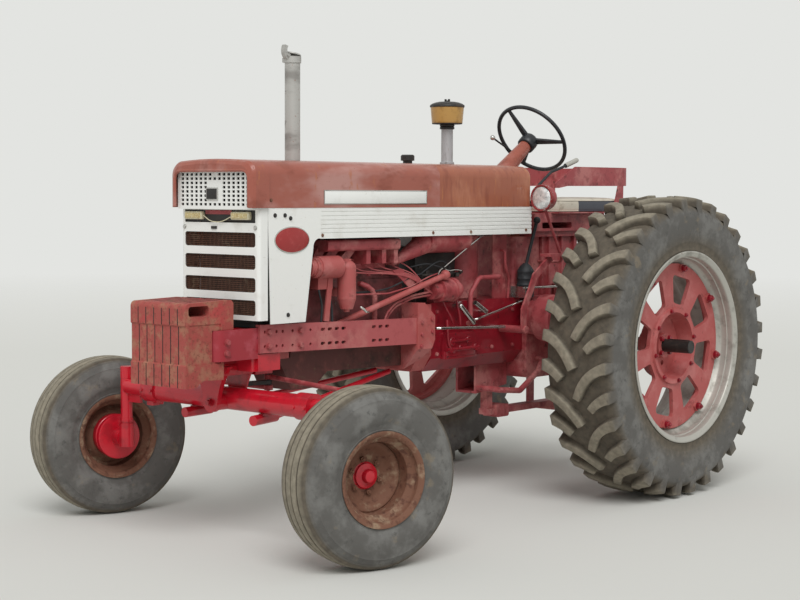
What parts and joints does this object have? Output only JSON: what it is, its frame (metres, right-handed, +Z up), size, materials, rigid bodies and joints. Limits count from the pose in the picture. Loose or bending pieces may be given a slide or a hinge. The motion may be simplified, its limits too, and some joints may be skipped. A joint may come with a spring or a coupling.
{
  "type": "farm tractor",
  "caption": "Row-crop farm tractor on pneumatic tyres, with a wide front axle, front weights and a steering linkage.",
  "frame": {"origin": "on the ground below the middle of the machine's overall length and width", "axes": "+X forward, +Y to the tractor's left, +Z up"},
  "size_m": [3.614, 2.2546, 2.309],
  "materials": {
    "tyre_rubber": "worn black tyre rubber, dusty in the tread",
    "rim_silver": "silver rim paint, dull and rusty at the edges",
    "faded_red": "faded chassis red",
    "bright_red": "fresh red enamel",
    "hood_red": "sun-faded red over rust",
    "white_panel": "chalky white enamel with rust at the edges",
    "rusty_rim": "rusted rim",
    "black_steel": "black steel with grease",
    "bright_steel": "bare steel tube",
    "dark_core": "black radiator fins",
    "black_rubber": "black rubber boot",
    "wheel_plastic": "black hard rubber rim",
    "seat_cover": "cream and black vinyl",
    "amber_lamp": "amber lamps in a pale bar",
    "bowl": "yellowed precleaner bowl"
  },
  "bodies": {
    "chassis": {"front_axle": "bright_red", "axle_extensions": "bright_red", "axle_stays": "bright_red", "frame_rails": "faded_red", "front_bolster": "bright_red", "weight_bracket": "bright_red", "weights": "faded_red", "hood": "hood_red", "fuel_tank": "hood_red", "nose_cowl": "hood_red", "grille": "white_panel", "grille_screen": "white_panel", "lamp_bar": "amber_lamp", "intake_duct": "faded_red", "engine_pipes": "faded_red", "control_rods": "bright_steel", "filler_cap": "black_steel", "side_panels": "white_panel", "louvre_panels": "white_panel", "engine_block": "faded_red", "oil_pan": "black_steel", "manifolds": "faded_red", "generator": "faded_red", "fuel_filters": "faded_red", "injection_pump": "faded_red", "steering_shaft": "faded_red", "radiator": "dark_core", "fan": "faded_red", "bell_housing": "faded_red", "transmission_case": "bright_red", "rear_axle_housing": "faded_red", "seat_platform": "faded_red", "column_cover": "hood_red", "exhaust_stack": "bright_steel", "precleaner": "bowl", "headlights": "faded_red", "seat_frame": "faded_red", "seat_cushion": "seat_cover", "levers": "black_rubber", "pedals": "faded_red", "drawbar": "faded_red", "pto_shaft": "bright_steel"},
    "rear_wheel_left": {"rear_tyre_left": "tyre_rubber", "rear_rim_left": "rim_silver", "rear_centre_left": "faded_red", "axle_shaft_left": "black_steel"},
    "rear_wheel_right": {"rear_tyre_right": "tyre_rubber", "rear_rim_right": "rim_silver", "rear_centre_right": "faded_red", "axle_shaft_right": "black_steel"},
    "knuckle_left": {"knuckle_left": "bright_red"},
    "knuckle_right": {"knuckle_right": "bright_red"},
    "front_wheel_left": {"front_tyre_left": "tyre_rubber", "front_wheel_left": "rusty_rim"},
    "front_wheel_right": {"front_tyre_right": "tyre_rubber", "front_wheel_right": "rusty_rim"},
    "steering_arm": {"steering_arm": "black_steel"},
    "tie_rod_left": {"tie_rod_left": "faded_red"},
    "tie_rod_right": {"tie_rod_right": "faded_red"},
    "steering_wheel": {"steering_wheel": "wheel_plastic"}
  },
  "joints": [
    {"name": "steer_left", "type": "hinge", "parent": "chassis", "child": "knuckle_left", "pos_m": [1.35898, 0.727, 0.6], "axis": [0, 0, 1], "range_deg": [-27, 57]},
    {"name": "steer_right", "type": "hinge", "parent": "chassis", "child": "knuckle_right", "pos_m": [1.35898, -0.727, 0.6], "axis": [0, 0, 1], "range_deg": [-28, 58]},
    {"name": "centre_arm", "type": "hinge", "parent": "chassis", "child": "steering_arm", "pos_m": [1.26298, 0, 0.712], "axis": [0, 0, 1], "range_deg": [-28, 58]},
    {"name": "rod_left", "type": "hinge", "parent": "steering_arm", "child": "tie_rod_left", "pos_m": [1.13258, 0.03494, 0.712], "axis": [0, 0, 1], "range_deg": [-58, 28]},
    {"name": "rod_right", "type": "hinge", "parent": "steering_arm", "child": "tie_rod_right", "pos_m": [1.13258, 0.03494, 0.712], "axis": [0, 0, 1], "range_deg": [-58, 28]},
    {"name": "steering_wheel_turn", "type": "hinge", "parent": "chassis", "child": "steering_wheel", "pos_m": [-0.96702, 0, 1.906], "axis": [-0.809, 0, 0.5878], "range_deg": [-326, 686]},
    {"name": "front_wheel_left_roll", "type": "hinge", "parent": "knuckle_left", "child": "front_wheel_left", "pos_m": [1.41333, 0.92984, 0.394], "axis": [0.2588, 0.9659, 0], "continuous": true},
    {"name": "front_wheel_right_roll", "type": "hinge", "parent": "knuckle_right", "child": "front_wheel_right", "pos_m": [1.30463, -0.92984, 0.394], "axis": [0.2588, 0.9659, 0], "continuous": true},
    {"name": "rear_wheel_left_roll", "type": "hinge", "parent": "chassis", "child": "rear_wheel_left", "pos_m": [-1.00702, 0.829, 0.8], "axis": [0, 1, 0], "continuous": true},
    {"name": "rear_wheel_right_roll", "type": "hinge", "parent": "chassis", "child": "rear_wheel_right", "pos_m": [-1.00702, -0.829, 0.8], "axis": [0, 1, 0], "continuous": true}
  ],
  "couplings": [
    {"joint": "steer_right", "follows": "steer_left", "ratio": 1},
    {"joint": "centre_arm", "follows": "steer_left", "ratio": 1},
    {"joint": "rod_left", "follows": "steer_left", "ratio": -1},
    {"joint": "rod_right", "follows": "steer_left", "ratio": -1},
    {"joint": "steering_wheel_turn", "follows": "steer_left", "ratio": 12}
  ]
}
